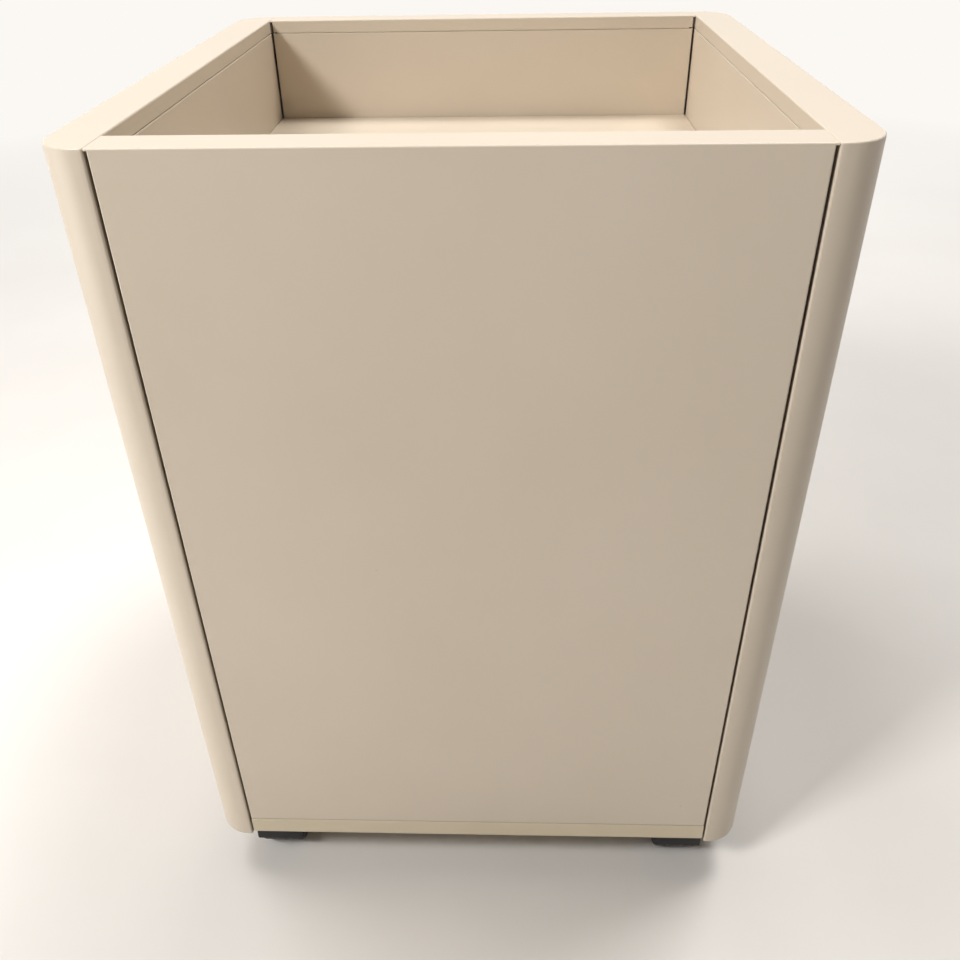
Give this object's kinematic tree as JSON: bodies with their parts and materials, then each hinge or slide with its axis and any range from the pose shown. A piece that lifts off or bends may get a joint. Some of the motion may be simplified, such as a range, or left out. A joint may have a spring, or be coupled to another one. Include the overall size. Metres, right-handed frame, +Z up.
{
  "type": "mobile filing cabinet",
  "caption": "Mobile pedestal filing cabinet in painted sheet steel, with an open tray on top, a box drawer, a file drawer, a gang lock and swivelling twin-wheel casters.",
  "frame": {"origin": "on the floor, below the middle of the cabinet's outline", "axes": "+Z up; the drawers open towards -Y; +X to the right as seen from the drawers"},
  "size_m": [0.402, 0.421, 0.56],
  "materials": {
    "side_panel_paint": "satin powder coat, beige",
    "rear_panel_paint": "satin powder coat, beige",
    "header_paint": "satin powder coat, beige",
    "tray_paint": "satin powder coat, beige",
    "base_paint": "satin powder coat, beige",
    "drawer_front_paint": "satin powder coat, beige",
    "drawer_body_paint": "satin powder coat, beige",
    "pull_plastic": "moulded, beige",
    "pencil_tray_plastic": "moulded, black",
    "zinc_plated_rail": "zinc plated",
    "ball_cage_steel": "pressed and polished",
    "stop_rubber": "moulded, black",
    "cast_iron": "cast, primed grey",
    "screw_steel": "zinc plated",
    "lock_chrome": "polished",
    "lock_steel": "zinc plated",
    "guide_plastic": "moulded, natural white",
    "caster_steel": "zinc plated",
    "caster_hood_plastic": "moulded, black",
    "caster_wheel_plastic": "moulded, black, satin",
    "brake_lever_plastic": "moulded, black"
  },
  "bodies": {
    "cabinet": {"left_side_outer_skin": "side_panel_paint", "right_side_outer_skin": "side_panel_paint", "left_side_inner_skin": "side_panel_paint", "right_side_inner_skin": "side_panel_paint", "rear_panel_outer_skin": "rear_panel_paint", "rear_panel_inner_skin": "rear_panel_paint", "header_outer_skin": "header_paint", "header_inner_skin": "header_paint", "tray_floor": "tray_paint", "base_pan": "base_paint", "counterweight": "cast_iron", "box_cabinet_rails": "zinc_plated_rail", "file_cabinet_rails": "zinc_plated_rail", "slide_rear_stops": "stop_rubber", "pan_head_screws": "screw_steel", "lock_housing": "lock_chrome", "lock_bar_guides": "guide_plastic", "caster_mounts": "caster_steel"},
    "lock_barrel": {"lock_plug": "lock_chrome", "lock_cam": "lock_steel"},
    "gang_bar": {"lock_bar": "lock_steel"},
    "box_drawer": {"box_drawer_front_skin": "drawer_front_paint", "box_drawer_front_liner": "drawer_front_paint", "box_drawer_pull": "pull_plastic", "box_drawer_body": "drawer_body_paint", "box_lock_catch": "screw_steel", "box_drawer_rails": "zinc_plated_rail", "pencil_tray": "pencil_tray_plastic"},
    "box_middle_slide": {"box_middle_rails": "zinc_plated_rail"},
    "box_outer_cages": {"box_outer_ball_cages": "ball_cage_steel"},
    "box_inner_cages": {"box_inner_ball_cages": "ball_cage_steel"},
    "file_drawer": {"file_drawer_front_skin": "drawer_front_paint", "file_drawer_front_liner": "drawer_front_paint", "file_drawer_pull": "pull_plastic", "file_drawer_body": "drawer_body_paint", "file_lock_catch": "screw_steel", "file_drawer_rails": "zinc_plated_rail", "hanging_file_rails": "zinc_plated_rail"},
    "file_middle_slide": {"file_middle_rails": "zinc_plated_rail"},
    "file_outer_cages": {"file_outer_ball_cages": "ball_cage_steel"},
    "file_inner_cages": {"file_inner_ball_cages": "ball_cage_steel"},
    "front_left_caster": {"caster_hood_front_left": "caster_hood_plastic", "caster_axle_front_left": "caster_steel"},
    "front_left_left_wheel": {"caster_wheel_front_left_left": "caster_wheel_plastic"},
    "front_left_right_wheel": {"caster_wheel_front_left_right": "caster_wheel_plastic"},
    "front_left_brake": {"brake_lever_front_left": "brake_lever_plastic"},
    "front_right_caster": {"caster_hood_front_right": "caster_hood_plastic", "caster_axle_front_right": "caster_steel"},
    "front_right_left_wheel": {"caster_wheel_front_right_left": "caster_wheel_plastic"},
    "front_right_right_wheel": {"caster_wheel_front_right_right": "caster_wheel_plastic"},
    "front_right_brake": {"brake_lever_front_right": "brake_lever_plastic"},
    "rear_left_caster": {"caster_hood_rear_left": "caster_hood_plastic", "caster_axle_rear_left": "caster_steel"},
    "rear_left_left_wheel": {"caster_wheel_rear_left_left": "caster_wheel_plastic"},
    "rear_left_right_wheel": {"caster_wheel_rear_left_right": "caster_wheel_plastic"},
    "rear_right_caster": {"caster_hood_rear_right": "caster_hood_plastic", "caster_axle_rear_right": "caster_steel"},
    "rear_right_left_wheel": {"caster_wheel_rear_right_left": "caster_wheel_plastic"},
    "rear_right_right_wheel": {"caster_wheel_rear_right_right": "caster_wheel_plastic"}
  },
  "joints": [
    {"name": "box_drawer_slide", "type": "slide", "parent": "cabinet", "child": "box_drawer", "axis": [0, -1, 0], "range_m": [0, 0.33]},
    {"name": "box_middle_slide_slide", "type": "slide", "parent": "cabinet", "child": "box_middle_slide", "axis": [0, -1, 0], "range_m": [0, 0.165]},
    {"name": "box_outer_cages_slide", "type": "slide", "parent": "cabinet", "child": "box_outer_cages", "axis": [0, -1, 0], "range_m": [0, 0.0825]},
    {"name": "box_inner_cages_slide", "type": "slide", "parent": "cabinet", "child": "box_inner_cages", "axis": [0, -1, 0], "range_m": [0, 0.2475]},
    {"name": "file_drawer_slide", "type": "slide", "parent": "cabinet", "child": "file_drawer", "axis": [0, -1, 0], "range_m": [0, 0.33]},
    {"name": "file_middle_slide_slide", "type": "slide", "parent": "cabinet", "child": "file_middle_slide", "axis": [0, -1, 0], "range_m": [0, 0.165]},
    {"name": "file_outer_cages_slide", "type": "slide", "parent": "cabinet", "child": "file_outer_cages", "axis": [0, -1, 0], "range_m": [0, 0.0825]},
    {"name": "file_inner_cages_slide", "type": "slide", "parent": "cabinet", "child": "file_inner_cages", "axis": [0, -1, 0], "range_m": [0, 0.2475]},
    {"name": "lock_turn", "type": "hinge", "parent": "cabinet", "child": "lock_barrel", "pos_m": [0.145, -0.2105, 0.462], "axis": [0, -1, 0], "range_deg": [-90, 0]},
    {"name": "gang_bar_lift", "type": "slide", "parent": "cabinet", "child": "gang_bar", "axis": [0, 0, -1], "range_m": [-0.009, 0]},
    {"name": "front_left_swivel", "type": "hinge", "parent": "cabinet", "child": "front_left_caster", "pos_m": [-0.158, -0.1605, 0.05], "axis": [0, 0, 1], "continuous": true},
    {"name": "front_left_left_roll", "type": "hinge", "parent": "front_left_caster", "child": "front_left_left_wheel", "pos_m": [-0.158, -0.1755, 0.019], "axis": [1, 0, 0], "continuous": true},
    {"name": "front_left_right_roll", "type": "hinge", "parent": "front_left_caster", "child": "front_left_right_wheel", "pos_m": [-0.158, -0.1755, 0.019], "axis": [1, 0, 0], "continuous": true},
    {"name": "front_left_brake_press", "type": "hinge", "parent": "front_left_caster", "child": "front_left_brake", "pos_m": [-0.158, -0.1885, 0.031], "axis": [1, 0, 0], "range_deg": [0, 12]},
    {"name": "front_right_swivel", "type": "hinge", "parent": "cabinet", "child": "front_right_caster", "pos_m": [0.158, -0.1605, 0.05], "axis": [0, 0, 1], "continuous": true},
    {"name": "front_right_left_roll", "type": "hinge", "parent": "front_right_caster", "child": "front_right_left_wheel", "pos_m": [0.158, -0.1755, 0.019], "axis": [1, 0, 0], "continuous": true},
    {"name": "front_right_right_roll", "type": "hinge", "parent": "front_right_caster", "child": "front_right_right_wheel", "pos_m": [0.158, -0.1755, 0.019], "axis": [1, 0, 0], "continuous": true},
    {"name": "front_right_brake_press", "type": "hinge", "parent": "front_right_caster", "child": "front_right_brake", "pos_m": [0.158, -0.1885, 0.031], "axis": [1, 0, 0], "range_deg": [0, 12]},
    {"name": "rear_left_swivel", "type": "hinge", "parent": "cabinet", "child": "rear_left_caster", "pos_m": [-0.158, 0.1605, 0.05], "axis": [0, 0, 1], "continuous": true},
    {"name": "rear_left_left_roll", "type": "hinge", "parent": "rear_left_caster", "child": "rear_left_left_wheel", "pos_m": [-0.158, 0.1755, 0.019], "axis": [1, 0, 0], "continuous": true},
    {"name": "rear_left_right_roll", "type": "hinge", "parent": "rear_left_caster", "child": "rear_left_right_wheel", "pos_m": [-0.158, 0.1755, 0.019], "axis": [1, 0, 0], "continuous": true},
    {"name": "rear_right_swivel", "type": "hinge", "parent": "cabinet", "child": "rear_right_caster", "pos_m": [0.158, 0.1605, 0.05], "axis": [0, 0, 1], "continuous": true},
    {"name": "rear_right_left_roll", "type": "hinge", "parent": "rear_right_caster", "child": "rear_right_left_wheel", "pos_m": [0.158, 0.1755, 0.019], "axis": [1, 0, 0], "continuous": true},
    {"name": "rear_right_right_roll", "type": "hinge", "parent": "rear_right_caster", "child": "rear_right_right_wheel", "pos_m": [0.158, 0.1755, 0.019], "axis": [1, 0, 0], "continuous": true}
  ],
  "couplings": [
    {"joint": "box_middle_slide_slide", "follows": "box_drawer_slide", "ratio": 0.5},
    {"joint": "box_outer_cages_slide", "follows": "box_drawer_slide", "ratio": 0.25},
    {"joint": "box_inner_cages_slide", "follows": "box_drawer_slide", "ratio": 0.75},
    {"joint": "file_middle_slide_slide", "follows": "file_drawer_slide", "ratio": 0.5},
    {"joint": "file_outer_cages_slide", "follows": "file_drawer_slide", "ratio": 0.25},
    {"joint": "file_inner_cages_slide", "follows": "file_drawer_slide", "ratio": 0.75},
    {"joint": "lock_turn", "follows": "gang_bar_lift", "rad_per_m": 174.53}
  ]
}
